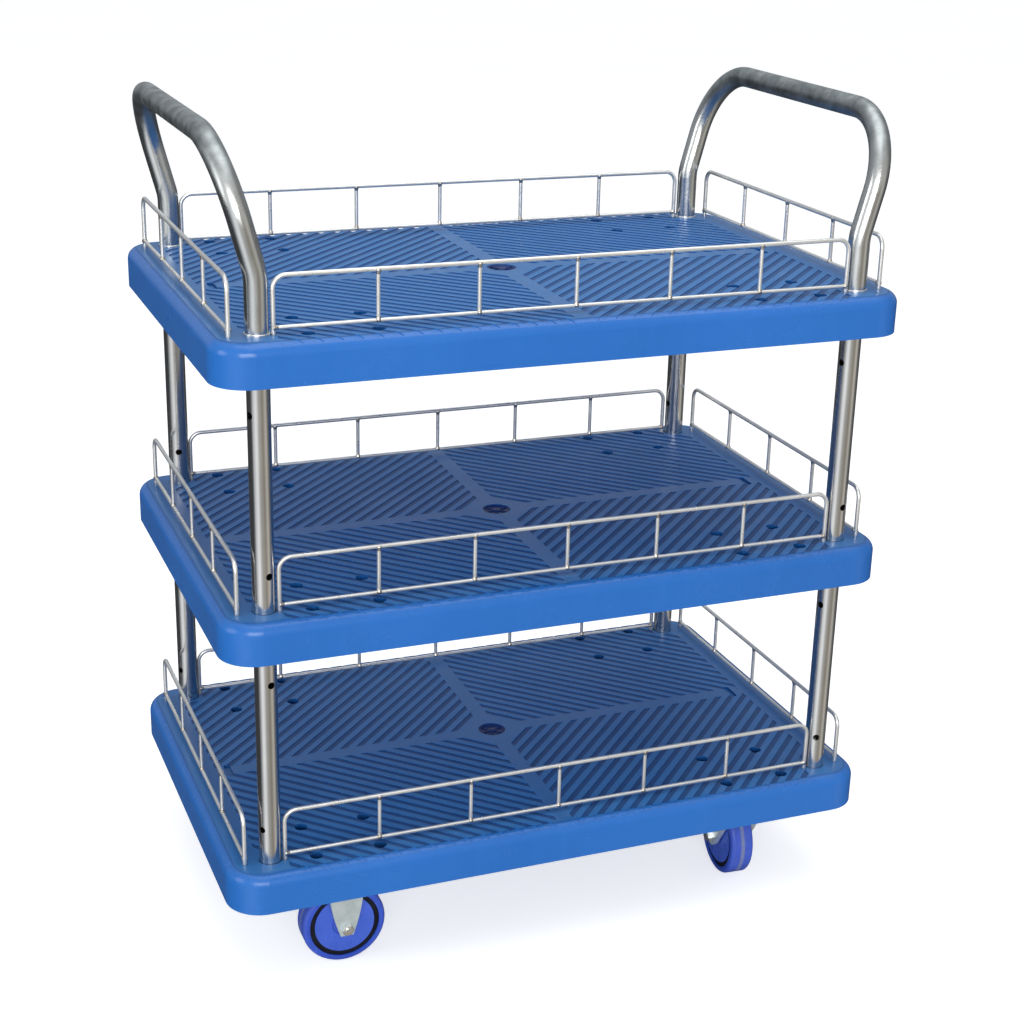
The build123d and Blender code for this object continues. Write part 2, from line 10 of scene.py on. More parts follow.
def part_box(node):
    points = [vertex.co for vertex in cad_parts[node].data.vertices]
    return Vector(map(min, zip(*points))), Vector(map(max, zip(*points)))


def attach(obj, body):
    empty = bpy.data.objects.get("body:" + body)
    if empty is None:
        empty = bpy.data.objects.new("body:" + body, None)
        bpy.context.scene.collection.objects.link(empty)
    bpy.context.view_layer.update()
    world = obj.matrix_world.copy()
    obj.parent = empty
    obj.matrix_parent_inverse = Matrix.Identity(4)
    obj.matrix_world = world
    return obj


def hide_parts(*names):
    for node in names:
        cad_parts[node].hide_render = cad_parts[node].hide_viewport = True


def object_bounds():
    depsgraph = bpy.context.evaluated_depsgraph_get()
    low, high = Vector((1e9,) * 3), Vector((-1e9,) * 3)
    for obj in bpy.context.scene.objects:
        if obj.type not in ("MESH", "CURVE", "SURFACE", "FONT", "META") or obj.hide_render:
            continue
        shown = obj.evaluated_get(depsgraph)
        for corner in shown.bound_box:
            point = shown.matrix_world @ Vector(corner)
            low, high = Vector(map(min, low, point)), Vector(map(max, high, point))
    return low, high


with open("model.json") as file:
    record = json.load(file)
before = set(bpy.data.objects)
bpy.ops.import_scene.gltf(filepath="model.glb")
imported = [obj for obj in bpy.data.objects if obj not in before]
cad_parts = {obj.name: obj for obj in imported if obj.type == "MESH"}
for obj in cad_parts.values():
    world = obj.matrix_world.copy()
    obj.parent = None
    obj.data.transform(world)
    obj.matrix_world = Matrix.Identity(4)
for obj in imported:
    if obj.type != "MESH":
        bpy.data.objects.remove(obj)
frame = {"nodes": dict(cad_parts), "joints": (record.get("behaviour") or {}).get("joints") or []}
cad_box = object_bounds()
nodes = frame["nodes"]
millimetre = 0.001
cart_low, cart_high = (Vector(corner) for corner in cad_box)
cart_middle = (cart_low + cart_high) / 2
levels = ("bottom", "middle", "top")


# ---------------------------------------------------------------- wiring shader nodes

class Wiring:
    """Adds nodes to one shader tree and joins their sockets."""

    def __init__(self, tree):
        self.tree = tree

    def add(self, kind, settings=None, **inputs):
        node = self.tree.nodes.new(kind)
        for name, value in (settings or {}).items():
            setattr(node, name, value)
        for name, value in inputs.items():
            key = int(name[1:]) if name[0] == "i" and name[1:].isdigit() else name.replace("_", " ")
            self.feed(node.inputs[key], value)
        return node

    def feed(self, socket, value):
        if isinstance(value, bpy.types.NodeSocket):
            self.tree.links.new(value, socket)
        else:
            socket.default_value = value

    def maths(self, operation, first, second=0.0, third=0.0, clamp=False):
        settings = {"operation": operation, "use_clamp": clamp}
        return self.add("ShaderNodeMath", settings, i0=first, i1=second, i2=third).outputs[0]

    def mix(self, factor, first, second, blend="MIX"):
        node = self.add("ShaderNodeMix", {"data_type": "RGBA", "blend_type": blend})
        self.feed(node.inputs[0], factor)
        self.feed(node.inputs[6], first)
        self.feed(node.inputs[7], second)
        return node.outputs[2]

    def spread(self, value, low, high, to_low=0.0, to_high=1.0):
        """Maps low..high on to to_low..to_high, clamped."""
        node = self.add("ShaderNodeMapRange", {"clamp": True})
        for socket, number in zip(node.inputs, (value, low, high, to_low, to_high)):
            self.feed(socket, number)
        return node.outputs[0]

    def vectors(self, operation, first, second=(0.0, 0.0, 0.0)):
        settings = {"operation": operation}
        return self.add("ShaderNodeVectorMath", settings, i0=first, i1=second).outputs

    def stretched(self, vector, factors):
        return self.vectors("MULTIPLY", vector, factors)["Vector"]

    def noise(self, vector, scale, detail=3.0, roughness=0.55):
        node = self.add("ShaderNodeTexNoise")
        self.feed(node.inputs["Vector"], vector)
        self.feed(node.inputs["Scale"], scale)
        self.feed(node.inputs["Detail"], detail)
        self.feed(node.inputs["Roughness"], roughness)
        return node.outputs["Fac"]


def effect(name, inputs, outputs):
    """An empty node group with the given float, vector or colour sockets."""
    group = bpy.data.node_groups.new(name, "ShaderNodeTree")
    kinds = {"float": "NodeSocketFloat", "vector": "NodeSocketVector", "colour": "NodeSocketColor"}
    for label, kind, start in inputs:
        socket = group.interface.new_socket(label, in_out="INPUT", socket_type=kinds[kind])
        if start is not None:
            socket.default_value = start
    for label, kind in outputs:
        group.interface.new_socket(label, in_out="OUTPUT", socket_type=kinds[kind])
    wires = Wiring(group)
    entry = group.nodes.new("NodeGroupInput")
    leave = group.nodes.new("NodeGroupOutput")
    return group, wires, entry.outputs, leave.inputs


def build_moulded_grain():
    """Fine orange-peel of a moulded or cast surface."""
    sockets = [("Vector", "vector", None), ("Scale", "float", 400.0)]
    group, w, given, out = effect("moulded grain", sockets, [("Height", "float")])
    coarse = w.noise(given["Vector"], given["Scale"], 4.0, 0.5)
    fine_scale = w.maths("MULTIPLY", given["Scale"], 3.5)
    fine = w.noise(given["Vector"], fine_scale, 2.0, 0.5)
    w.feed(out["Height"], w.maths("MULTIPLY_ADD", fine, 0.35, coarse))
    return group


def build_edge_rub_and_sheen():
    """A mask of edges broken up by noise: where handling has rubbed them paler, and on the decks partly a
    painted highlight.
    """
    sockets = [("Vector", "vector", None), ("Width", "float", 0.002), ("Breakup", "float", 60.0)]
    group, w, given, out = effect("edge rub", sockets, [("Mask", "float")])
    rounded = w.add("ShaderNodeBevel", {"samples": 4})
    w.feed(rounded.inputs["Radius"], given["Width"])
    flat = w.add("ShaderNodeNewGeometry").outputs["Normal"]
    agreement = w.vectors("DOT_PRODUCT", rounded.outputs[0], flat)["Value"]
    bend = w.spread(agreement, 0.98, 0.80)
    patches = w.spread(w.noise(given["Vector"], given["Breakup"], 4.0, 0.6), 0.42, 0.62)
    w.feed(out["Mask"], w.maths("MULTIPLY", bend, patches))
    return group


def build_smudges():
    """Soft finger and wiping marks, 0 clean to 1 smeared."""
    sockets = [("Vector", "vector", None), ("Scale", "float", 14.0)]
    group, w, given, out = effect("smudges", sockets, [("Mask", "float")])
    clouds = w.noise(given["Vector"], given["Scale"], 5.0, 0.62)
    small_scale = w.maths("MULTIPLY", given["Scale"], 4.3)
    dabs = w.noise(given["Vector"], small_scale, 3.0, 0.5)
    both = w.maths("MULTIPLY_ADD", dabs, 0.4, clouds)
    w.feed(out["Mask"], w.spread(both, 0.55, 0.92))
    return group


def build_hair_scratches():
    """Sparse hairline scratches in three directions."""
    sockets = [("Vector", "vector", None), ("Scale", "float", 30.0), ("Density", "float", 0.5)]
    group, w, given, out = effect("hair scratches", sockets, [("Mask", "float")])
    masks = []
    for turn, along in ((0.5, (1.0, 34.0, 1.0)), (2.1, (29.0, 1.0, 1.0)), (1.25, (1.0, 41.0, 1.0))):
        rotated = w.add("ShaderNodeVectorRotate", {"rotation_type": "Z_AXIS"}, Vector=given["Vector"])
        w.feed(rotated.inputs["Angle"], turn)
        lines = w.noise(w.stretched(rotated.outputs[0], along), given["Scale"], 1.0, 0.4)
        masks.append(w.spread(lines, 0.70, 0.74))
    any_line = w.maths("MAXIMUM", w.maths("MAXIMUM", masks[0], masks[1]), masks[2])
    where = w.noise(given["Vector"], 7.0, 3.0, 0.5)
    area = w.spread(w.maths("ADD", where, given["Density"]), 0.92, 1.12)
    w.feed(out["Mask"], w.maths("MULTIPLY", any_line, area))
    return group


def build_settled_dust():
    """Thin dust on what faces up, thicker where noise says."""
    sockets = [("Vector", "vector", None), ("Scale", "float", 9.0)]
    group, w, given, out = effect("settled dust", sockets, [("Mask", "float")])
    normal = w.add("ShaderNodeNewGeometry").outputs["Normal"]
    up = w.add("ShaderNodeSeparateXYZ", Vector=normal).outputs["Z"]
    facing_up = w.spread(up, 0.35, 0.95)
    drift = w.spread(w.noise(given["Vector"], given["Scale"], 6.0, 0.65), 0.38, 0.75)
    specks = w.spread(w.noise(given["Vector"], 900.0, 1.0, 0.5), 0.60, 0.72)
    amount = w.maths("MULTIPLY_ADD", specks, 0.5, w.maths("MULTIPLY", drift, 0.7), clamp=True)
    w.feed(out["Mask"], w.maths("MULTIPLY", amount, facing_up))
    return group


def build_recess_shade():
    """Painted shade that gathers in holes and inside corners."""
    sockets = [("Vector", "vector", None), ("Reach", "float", 0.012)]
    group, w, given, out = effect("recess shade", sockets, [("Mask", "float")])
    hollow = w.add("ShaderNodeAmbientOcclusion", {"samples": 4})
    w.feed(hollow.inputs["Distance"], given["Reach"])
    # Painted shade: the more hemmed in a spot is, the darker it is painted.
    deep = w.spread(hollow.outputs["AO"], 0.62, 0.20)
    uneven = w.spread(w.noise(given["Vector"], 90.0, 3.0), 0.3, 0.7, 0.75, 1.0)
    w.feed(out["Mask"], w.maths("MULTIPLY", deep, uneven))
    return group


def build_drawn_lines():
    """Long fine lines left by drawing and polishing metal, along the stretch given."""
    sockets = [("Vector", "vector", None), ("Stretch", "vector", (1.0, 1.0, 1.0))]
    group, w, given, out = effect("drawn lines", sockets, [("Height", "float")])
    stretched = w.stretched(given["Vector"], given["Stretch"])
    broad = w.noise(stretched, 300.0, 3.0, 0.6)
    fine = w.noise(stretched, 1100.0, 2.0, 0.6)
    w.feed(out["Height"], w.maths("MULTIPLY_ADD", fine, 0.5, broad))
    return group


effects = {
    "grain": build_moulded_grain(),
    "rub_and_sheen": build_edge_rub_and_sheen(),
    "smudge": build_smudges(),
    "scratch": build_hair_scratches(),
    "dust": build_settled_dust(),
    "lines": build_drawn_lines(),
    "recess": build_recess_shade(),
}


def start_material(name):
    """A new material with its Principled shader, its wiring and the piece's own coordinates."""
    material = bpy.data.materials.new(name)
    material.use_nodes = True
    wires = Wiring(material.node_tree)
    shader = material.node_tree.nodes["Principled BSDF"]
    place = wires.add("ShaderNodeTexCoord").outputs["Object"]
    return material, wires, shader, place


def use(wires, effect_name, place, **values):
    """The first output of a shared effect, placed with this material's own values."""
    node = wires.add("ShaderNodeGroup")
    node.node_tree = effects[effect_name]
    wires.feed(node.inputs["Vector"], place)
    for label, value in values.items():
        wires.feed(node.inputs[label], value)
    return node.outputs[0]


def press(wires, shader, height, strength, distance):
    """Bumps the shader's normal by a height, distance in metres."""
    bump = wires.add("ShaderNodeBump", Height=height, Strength=strength, Distance=distance)
    wires.feed(shader.inputs["Normal"], bump.outputs[0])


# ---------------------------------------------------------------- materials

groove_depth = 0.8 * millimetre
# How far each plain band of a deck's top reaches: (still plain, fully ribbed), in metres.
cross_band = (0.0095, 0.0115)
centre_diamond = (0.047, 0.050)
end_band = (0.038, 0.042)


def tread_layout(w, place):
    """Masks on a deck's top: the tread grooves' floors, the ribs and the plain bands."""
    parts = w.add("ShaderNodeSeparateXYZ", Vector=place).outputs
    grooves = None
    for level in levels:
        floor_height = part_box("deck_" + level)[1].z - groove_depth
        gap = w.maths("ABSOLUTE", w.maths("SUBTRACT", parts["Z"], floor_height))
        near = w.spread(gap, 0.55 * millimetre, 0.25 * millimetre)
        grooves = near if grooves is None else w.maths("MAXIMUM", grooves, near)
    normal = w.add("ShaderNodeNewGeometry").outputs["Normal"]
    up = w.add("ShaderNodeSeparateXYZ", Vector=normal).outputs["Z"]
    flat = w.spread(up, 0.90, 0.98)
    grooves = w.maths("MULTIPLY", grooves, flat)
    along, across = w.maths("ABSOLUTE", parts["X"]), w.maths("ABSOLUTE", parts["Y"])
    half_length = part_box("deck_top")[1].x
    plain_to, ribbed_from = cross_band
    cross = [w.spread(distance, ribbed_from, plain_to) for distance in (along, across)]
    bands = w.maths("MAXIMUM", cross[0], cross[1])
    plain_to, ribbed_from = centre_diamond
    diamond = w.spread(w.maths("ADD", along, across), ribbed_from, plain_to)
    bands = w.maths("MAXIMUM", bands, diamond)
    plain_to, ribbed_from = end_band
    ends = w.spread(along, half_length - ribbed_from, half_length - plain_to)
    bands = w.maths("MAXIMUM", bands, ends)
    ribs = w.maths("SUBTRACT", flat, w.maths("MAXIMUM", grooves, bands), clamp=True)
    plain = w.maths("MULTIPLY", w.maths("SUBTRACT", flat, grooves, clamp=True), bands)
    return grooves, ribs, plain


def deck_blue():
    """Moulded deck: groove floors and holes darkened with painted shade, rubbed blue ribs, glossy plain
    bands, bright satin skirts and paler edges that are partly a painted highlight.
    """
    material, w, shader, place = start_material("deck blue")
    clouds = w.noise(place, 3.2, 4.0, 0.55)
    blue = w.mix(w.spread(clouds, 0.35, 0.68), (0.016, 0.140, 0.49, 1), (0.021, 0.160, 0.55, 1))
    flow = w.noise(w.stretched(place, (1.0, 1.0, 0.06)), 42.0, 3.0, 0.6)
    blue = w.mix(w.maths("MULTIPLY", w.spread(flow, 0.5, 0.8), 0.18), blue, (0.03, 0.19, 0.60, 1))
    grooves, ribs, plain = tread_layout(w, place)
    # Painted shade: the groove floors are darkened as if shaded by the ribs beside them.
    blue = w.mix(w.maths("MULTIPLY", grooves, 0.85), blue, (0.007, 0.060, 0.20, 1))
    blue = w.mix(w.maths("MULTIPLY", ribs, 0.60), blue, (0.028, 0.190, 0.46, 1))
    blue = w.mix(w.maths("MULTIPLY", plain, 0.70), blue, (0.026, 0.165, 0.42, 1))
    # Painted shade: holes, slots and inside corners of the deck darkened almost to black-blue.
    recess = use(w, "recess", place, Reach=0.018)
    blue = w.mix(w.maths("MULTIPLY", recess, 0.88), blue, (0.003, 0.014, 0.06, 1))
    on_top = w.maths("MAXIMUM", ribs, plain)
    scratch = w.maths("MULTIPLY", use(w, "scratch", place, Scale=26.0, Density=0.46), on_top)
    blue = w.mix(w.maths("MULTIPLY", scratch, 0.30), blue, (0.16, 0.30, 0.56, 1))
    # Paler edges: partly rubbed wear, partly a painted highlight along the deck's rounded edges.
    rub_and_sheen = use(w, "rub_and_sheen", place, Width=0.0016, Breakup=55.0)
    blue = w.mix(w.maths("MULTIPLY", rub_and_sheen, 0.14), blue, (0.12, 0.30, 0.62, 1))
    dust = use(w, "dust", place, Scale=8.0)
    blue = w.mix(w.maths("MULTIPLY", dust, 0.05), blue, (0.42, 0.45, 0.48, 1))
    w.feed(shader.inputs["Base Color"], blue)
    smudge = use(w, "smudge", place, Scale=11.0)
    rough = w.maths("MULTIPLY_ADD", smudge, 0.10, 0.20)
    rough = w.maths("MULTIPLY_ADD", grooves, 0.26, rough)
    rough = w.maths("MULTIPLY_ADD", ribs, 0.14, rough)
    rough = w.maths("MULTIPLY_ADD", plain, 0.05, rough)
    rough = w.maths("MULTIPLY_ADD", dust, 0.12, rough)
    w.feed(shader.inputs["Roughness"], w.maths("MULTIPLY_ADD", scratch, 0.2, rough))
    shader.inputs["IOR"].default_value = 1.46
    grain = use(w, "grain", place, Scale=240.0)
    press(w, shader, w.maths("MULTIPLY_ADD", scratch, -0.6, grain), 0.10, 0.0006)
    return material


def cap_blue():
    """Glossy navy plastic, with painted shade darkening the corners of the ribs."""
    material, w, shader, place = start_material("cap navy")
    shade = w.spread(w.noise(place, 60.0, 3.0), 0.3, 0.7)
    navy = w.mix(shade, (0.007, 0.024, 0.12, 1), (0.012, 0.036, 0.17, 1))
    # Painted shade: the corners round the ribs darkened towards black-navy.
    recess = use(w, "recess", place, Reach=0.004)
    navy = w.mix(w.maths("MULTIPLY", recess, 0.8), navy, (0.002, 0.006, 0.03, 1))
    w.feed(shader.inputs["Base Color"], navy)
    smudge = use(w, "smudge", place, Scale=50.0)
    w.feed(shader.inputs["Roughness"], w.maths("MULTIPLY_ADD", smudge, 0.2, 0.22))
    shader.inputs["Specular IOR Level"].default_value = 0.22
    press(w, shader, use(w, "grain", place, Scale=500.0), 0.08, 0.0004)
    return material


# Factors on X, Y and Z for the drawn lines of a tube. A small one draws them out along that axis.
lengthwise_grain = (1.0, 1.0, 0.03)
crosswise_grain = (1.0, 0.05, 1.0)


def post_tube():
    """Polished stainless tube, a little duller where hands and cloths have been."""
    material, w, shader, place = start_material("post tube")
    tint = w.spread(w.noise(place, 8.0, 4.0), 0.35, 0.7)
    steel = w.mix(tint, (0.60, 0.60, 0.59, 1), (0.70, 0.69, 0.67, 1))
    w.feed(shader.inputs["Base Color"], steel)
    shader.inputs["Metallic"].default_value = 1.0
    lines = use(w, "lines", place, Stretch=lengthwise_grain)
    smudge = use(w, "smudge", place, Scale=18.0)
    rough = w.maths("MULTIPLY_ADD", smudge, 0.08, 0.12)
    streaks = w.spread(lines, 0.5, 1.0, 0.0, 0.05)
    w.feed(shader.inputs["Roughness"], w.maths("ADD", rough, streaks))
    press(w, shader, lines, 0.12, 0.00012)
    return material


def handle_tube():
    """Polished on its legs; the bar is duller and darker, with finger marks and cross-grain."""
    material, w, shader, place = start_material("handle tube")
    parts = w.add("ShaderNodeSeparateXYZ", Vector=place)
    bar_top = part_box("handle_left")[1].z
    legs_end, bar_starts = bar_top - 0.085, bar_top - 0.022
    held = w.spread(parts.outputs["Z"], legs_end, bar_starts)
    tint = w.spread(w.noise(place, 8.0, 4.0), 0.35, 0.7)
    steel = w.mix(tint, (0.54, 0.56, 0.56, 1), (0.66, 0.67, 0.66, 1))
    smudge = use(w, "smudge", place, Scale=24.0)
    fingers = w.spread(w.noise(place, 55.0, 5.0, 0.65), 0.36, 0.66)
    worn = w.mix(fingers, (0.15, 0.175, 0.175, 1), (0.40, 0.43, 0.43, 1))
    colour = w.mix(w.maths("MULTIPLY", held, 0.80), steel, worn)
    w.feed(shader.inputs["Base Color"], colour)
    shader.inputs["Metallic"].default_value = 1.0
    on_legs = use(w, "lines", place, Stretch=lengthwise_grain)
    on_bar = use(w, "lines", place, Stretch=crosswise_grain)
    blend = w.add("ShaderNodeMix", {"data_type": "FLOAT"})
    for socket, value in ((0, held), (2, on_legs), (3, on_bar)):
        w.feed(blend.inputs[socket], value)
    lines = blend.outputs[0]
    rough = w.maths("MULTIPLY_ADD", smudge, 0.09, 0.15)
    rough = w.maths("MULTIPLY_ADD", held, 0.18, rough)
    rough = w.maths("MULTIPLY_ADD", w.maths("MULTIPLY", held, fingers), 0.10, rough)
    streaks = w.spread(lines, 0.5, 1.0, 0.0, 0.06)
    w.feed(shader.inputs["Roughness"], w.maths("ADD", rough, streaks))
    press(w, shader, lines, 0.12, 0.0001)
    return material


def rail_steel():
    """Drawn wire, bright and satin, with greyer handled patches and painted shade in tight corners."""
    material, w, shader, place = start_material("rail wire")
    tint = w.spread(w.noise(place, 22.0, 4.0), 0.30, 0.72)
    steel = w.mix(tint, (0.74, 0.74, 0.72, 1), (0.88, 0.88, 0.86, 1))
    # Painted shade: the wire darkened to dark grey in tight corners.
    recess = use(w, "recess", place, Reach=0.004)
    steel = w.mix(w.maths("MULTIPLY", recess, 0.6), steel, (0.20, 0.20, 0.19, 1))
    w.feed(shader.inputs["Base Color"], steel)
    shader.inputs["Metallic"].default_value = 0.80
    smudge = use(w, "smudge", place, Scale=60.0)
    w.feed(shader.inputs["Roughness"], w.maths("MULTIPLY_ADD", smudge, 0.12, 0.27))
    press(w, shader, use(w, "grain", place, Scale=1400.0), 0.05, 0.00006)
    return material


def weld_steel():
    """Dull weld metal with brown heat tint."""
    material, w, shader, place = start_material("weld bead")
    heat = w.spread(w.noise(place, 240.0, 3.0), 0.4, 0.65)
    metal = w.mix(heat, (0.60, 0.58, 0.55, 1), (0.42, 0.37, 0.31, 1))
    w.feed(shader.inputs["Base Color"], metal)
    shader.inputs["Metallic"].default_value = 1.0
    w.feed(shader.inputs["Roughness"], w.spread(heat, 0.0, 1.0, 0.28, 0.42))
    press(w, shader, use(w, "grain", place, Scale=1600.0), 0.25, 0.0003)
    return material


def zinc_plate(name, pale, dark, roughness, metal):
    """Zinc plate with cloudy patches between a pale and a dark colour, and rubbed edges."""
    material, w, shader, place = start_material(name)
    clouds = w.spread(w.noise(place, 70.0, 5.0, 0.65), 0.36, 0.66)
    colour = w.mix(clouds, dark, pale)
    rub_and_sheen = use(w, "rub_and_sheen", place, Width=0.0009, Breakup=140.0)
    colour = w.mix(w.maths("MULTIPLY", rub_and_sheen, 0.5), colour, (0.84, 0.85, 0.85, 1))
    w.feed(shader.inputs["Base Color"], colour)
    shader.inputs["Metallic"].default_value = metal
    dull = roughness + 0.12
    w.feed(shader.inputs["Roughness"], w.spread(clouds, 0.0, 1.0, dull, roughness))
    press(w, shader, use(w, "grain", place, Scale=900.0), 0.14, 0.0002)
    return material


turning_ripple = 5200.0  # radians of ripple per metre of radius, for the marks on a hub
# The part of a tread that meets the ground, as radii in metres: (unworn, fully worn).
running_surface = (0.0485, 0.0497)
# The mould seam round a tread, as distances from its middle: (gone, full).
mould_seam = (0.0034, 0.0012)


def wheel_plastic(name, hub, spin):
    """Blue wheel material, for the hub or else the tread. spin is the wheel's joint."""
    material, w, shader, place = start_material(name)
    centre, axle = Vector(spin["pos_m"]), Vector(spin["axis"])
    from_centre = w.vectors("SUBTRACT", place, centre)["Vector"]
    along_axle = w.vectors("DOT_PRODUCT", from_centre, axle)["Value"]
    length = w.vectors("LENGTH", from_centre)["Value"]
    shade = w.spread(w.noise(place, 26.0, 4.0), 0.35, 0.68)
    low, high = (0.024, 0.075, 0.50, 1), (0.036, 0.105, 0.64, 1)
    if hub:
        low, high = (0.046, 0.115, 0.60, 1), (0.062, 0.145, 0.72, 1)
    blue = w.mix(shade, low, high)
    scuff = use(w, "scratch", w.stretched(from_centre, (3.0, 3.0, 3.0)), Scale=22.0, Density=0.50)
    blue = w.mix(w.maths("MULTIPLY", scuff, 0.30), blue, (0.22, 0.28, 0.66, 1))
    smudge = use(w, "smudge", place, Scale=40.0)
    rough = w.maths("MULTIPLY_ADD", smudge, 0.16, 0.24 if hub else 0.30)
    if hub:
        rings = w.maths("SINE", w.maths("MULTIPLY", length, turning_ripple))
        height = w.maths("MULTIPLY_ADD", rings, 0.12, use(w, "grain", place, Scale=700.0))
    else:
        seam = w.spread(w.maths("ABSOLUTE", along_axle), *mould_seam)
        worn = w.spread(w.noise(place, 120.0, 5.0, 0.7), 0.30, 0.70)
        seam = w.maths("MULTIPLY", seam, w.spread(worn, 0.0, 1.0, 0.45, 0.95))
        blue = w.mix(seam, blue, (0.24, 0.28, 0.40, 1))
        running = w.spread(length, *running_surface)
        dirt = w.maths("MULTIPLY", w.maths("MULTIPLY", running, worn), 0.16)
        blue = w.mix(dirt, blue, (0.20, 0.20, 0.26, 1))
        rough = w.maths("MULTIPLY_ADD", running, 0.10, rough)
        height = use(w, "grain", place, Scale=600.0)
    w.feed(shader.inputs["Base Color"], blue)
    w.feed(shader.inputs["Roughness"], rough)
    shader.inputs["IOR"].default_value = 1.50
    press(w, shader, height, 0.12, 0.0003)
    return material


def ring_rubber():
    """Black rubber with a faint pale bloom."""
    material, w, shader, place = start_material("ring rubber")
    bloom = w.spread(w.noise(place, 55.0, 5.0, 0.65), 0.35, 0.75)
    black = w.mix(bloom, (0.003, 0.004, 0.010, 1), (0.010, 0.012, 0.020, 1))
    w.feed(shader.inputs["Base Color"], black)
    w.feed(shader.inputs["Roughness"], w.spread(bloom, 0.0, 1.0, 0.34, 0.55))
    shader.inputs["Specular IOR Level"].default_value = 0.25
    press(w, shader, use(w, "grain", place, Scale=1100.0), 0.20, 0.0003)
    return material


def paint(piece, material):
    """Gives a piece this material alone."""
    piece.data.materials.clear()
    piece.data.materials.append(material)


def finish_nodes():
    """Gives every node of the frame its material."""
    spins = {j["child"]: j for j in frame["joints"] if j["child"].startswith("wheel_")}
    plated = zinc_plate("castor zinc", (0.74, 0.84, 0.85, 1), (0.58, 0.66, 0.67, 1), 0.30, 0.55)
    bright = zinc_plate("fastener zinc", (0.84, 0.85, 0.84, 1), (0.64, 0.65, 0.64, 1), 0.16, 0.9)
    chosen = {
        "deck_": deck_blue(),
        "post_": post_tube(),
        "handle_rings": bright,
        "handle_": handle_tube(),
        "rail_": rail_steel(),
        "castor_fork": plated,
        "castor_plate": plated,
        "wheel_ring": ring_rubber(),
    }
    for name, node in nodes.items():
        if name.startswith(("wheel_tread_", "wheel_hub_")):
            corner = name.split("_", 2)[2]
            hub = name.startswith("wheel_hub_")
            paint(node, wheel_plastic(name.replace("_", " "), hub, spins["wheel_" + corner]))
            continue
        matches = (material for start, material in chosen.items() if name.startswith(start))
        paint(node, next(matches, bright))


finish_nodes()


# ---------------------------------------------------------------- weld fillets on the rails

rail_wire_radius = 2.5 * millimetre
rail_bar_radius = 2.25 * millimetre
rail_low_wire_height = 7.0 * millimetre
rail_bays = (("front", 6), ("back", 6), ("left", 4), ("right", 4))
# A fillet from its foot up: (height in wire radii, radius in bar radii).
fillet_outline = ((-0.2, 1.52), (0.55, 1.44), (0.85, 1.30), (1.15, 1.16), (1.60, 1.06), (2.05, 1.00))
fillet_steps = 16
fillet_lumps = 0.035
fillet_cover = 0.03 * millimetre


def skin_loops(form, loops, steps):
    """Joins a stack of vertex loops into a closed form."""
    for low, high in zip(loops, loops[1:]):
        for k in range(steps):
            form.faces.new((low[k], low[(k + 1) % steps], high[(k + 1) % steps], high[k]))
    form.faces.new(reversed(loops[0]))
    form.faces.new(loops[-1])


def place_mesh(name, form, material):
    """Turns a finished form into a smooth-shaded object of the same name."""
    mesh = bpy.data.meshes.new(name)
    form.to_mesh(mesh)
    form.free()
    mesh.shade_smooth()
    piece = bpy.data.objects.new(name, mesh)
    bpy.context.scene.collection.objects.link(piece)
    paint(piece, material)
    return piece


def fillet_ring(form, foot, direction, wire_radius, wobble):
    """A small concave skirt of weld metal round a bar where it meets a wire."""
    direction = direction.normalized()
    side = direction.orthogonal().normalized()
    other = direction.cross(side)
    loops = []
    for rise, spread in fillet_outline:
        loop = []
        for k in range(fillet_steps):
            turn = 2 * math.pi * k / fillet_steps
            lump = 1 + wobble.uniform(-fillet_lumps, fillet_lumps) * (spread - 1) * 4
            reach = rail_bar_radius * spread * lump + fillet_cover
            outward = (side * math.cos(turn) + other * math.sin(turn)) * reach
            spot = foot + direction * (wire_radius * rise) + outward
            loop.append(form.verts.new(spot))
        loops.append(loop)
    skin_loops(form, loops, fillet_steps)


def weld_rails(level, material):
    """The fillets of one tier's four rails, in one mesh that goes with the cart."""
    form = bmesh.new()
    wobble = random.Random("welds " + level)
    deck_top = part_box("deck_" + level)[1].z
    low_wire = deck_top + rail_low_wire_height
    for side, bays in rail_bays:
        low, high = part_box(f"rail_{level}_{side}")
        lengthwise = Vector((1, 0, 0)) if side in ("front", "back") else Vector((0, 1, 0))
        middle = (low + high) / 2
        reach = (high - low).dot(lengthwise) / 2 - rail_wire_radius
        for k in range(1, bays):
            spot = middle + lengthwise * (reach * (2 * k / bays - 1))
            top_foot = Vector((spot.x, spot.y, high.z - rail_wire_radius))
            fillet_ring(form, top_foot, Vector((0, 0, -1)), rail_wire_radius, wobble)
            low_foot = Vector((spot.x, spot.y, low_wire))
            fillet_ring(form, low_foot, Vector((0, 0, 1)), rail_bar_radius, wobble)
        for way in (-1, 1):
            leg = middle + lengthwise * (reach * way)
            foot = Vector((leg.x, leg.y, low_wire))
            fillet_ring(form, foot, lengthwise * -way, rail_wire_radius, wobble)
    welds = place_mesh(f"rail_welds_{level}", form, material)
    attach(welds, "root")


# ---------------------------------------------------------------- centre caps

def turned(form, profile, middle, steps=64):
    """A closed ring of faces from an outline of (radius, height) points turned about the Z axis."""
    loops = []
    for radius, height in profile:
        loop = []
        for k in range(steps):
            turn = 2 * math.pi * k / steps
            offset = Vector((radius * math.cos(turn), radius * math.sin(turn), height))
            loop.append(form.verts.new(middle + offset))
        loops.append(loop)
    skin_loops(form, loops, steps)


cap_ribs = 6
cap_first_rib = 15  # degrees
# Half of a rib's width and its foot and back, measured up from the deck's top.
cap_rib_half_width = 0.9 * millimetre
cap_rib_foot, cap_rib_back = -2.35 * millimetre, -1.15 * millimetre
# Across a rib: (share of its half width, share of its height).
cap_rib_outline = ((-1.0, 0.0), (-0.85, 0.55), (-0.5, 0.9), (0.0, 1.0), (0.5, 0.9), (0.85, 0.55), (1.0, 0.0))


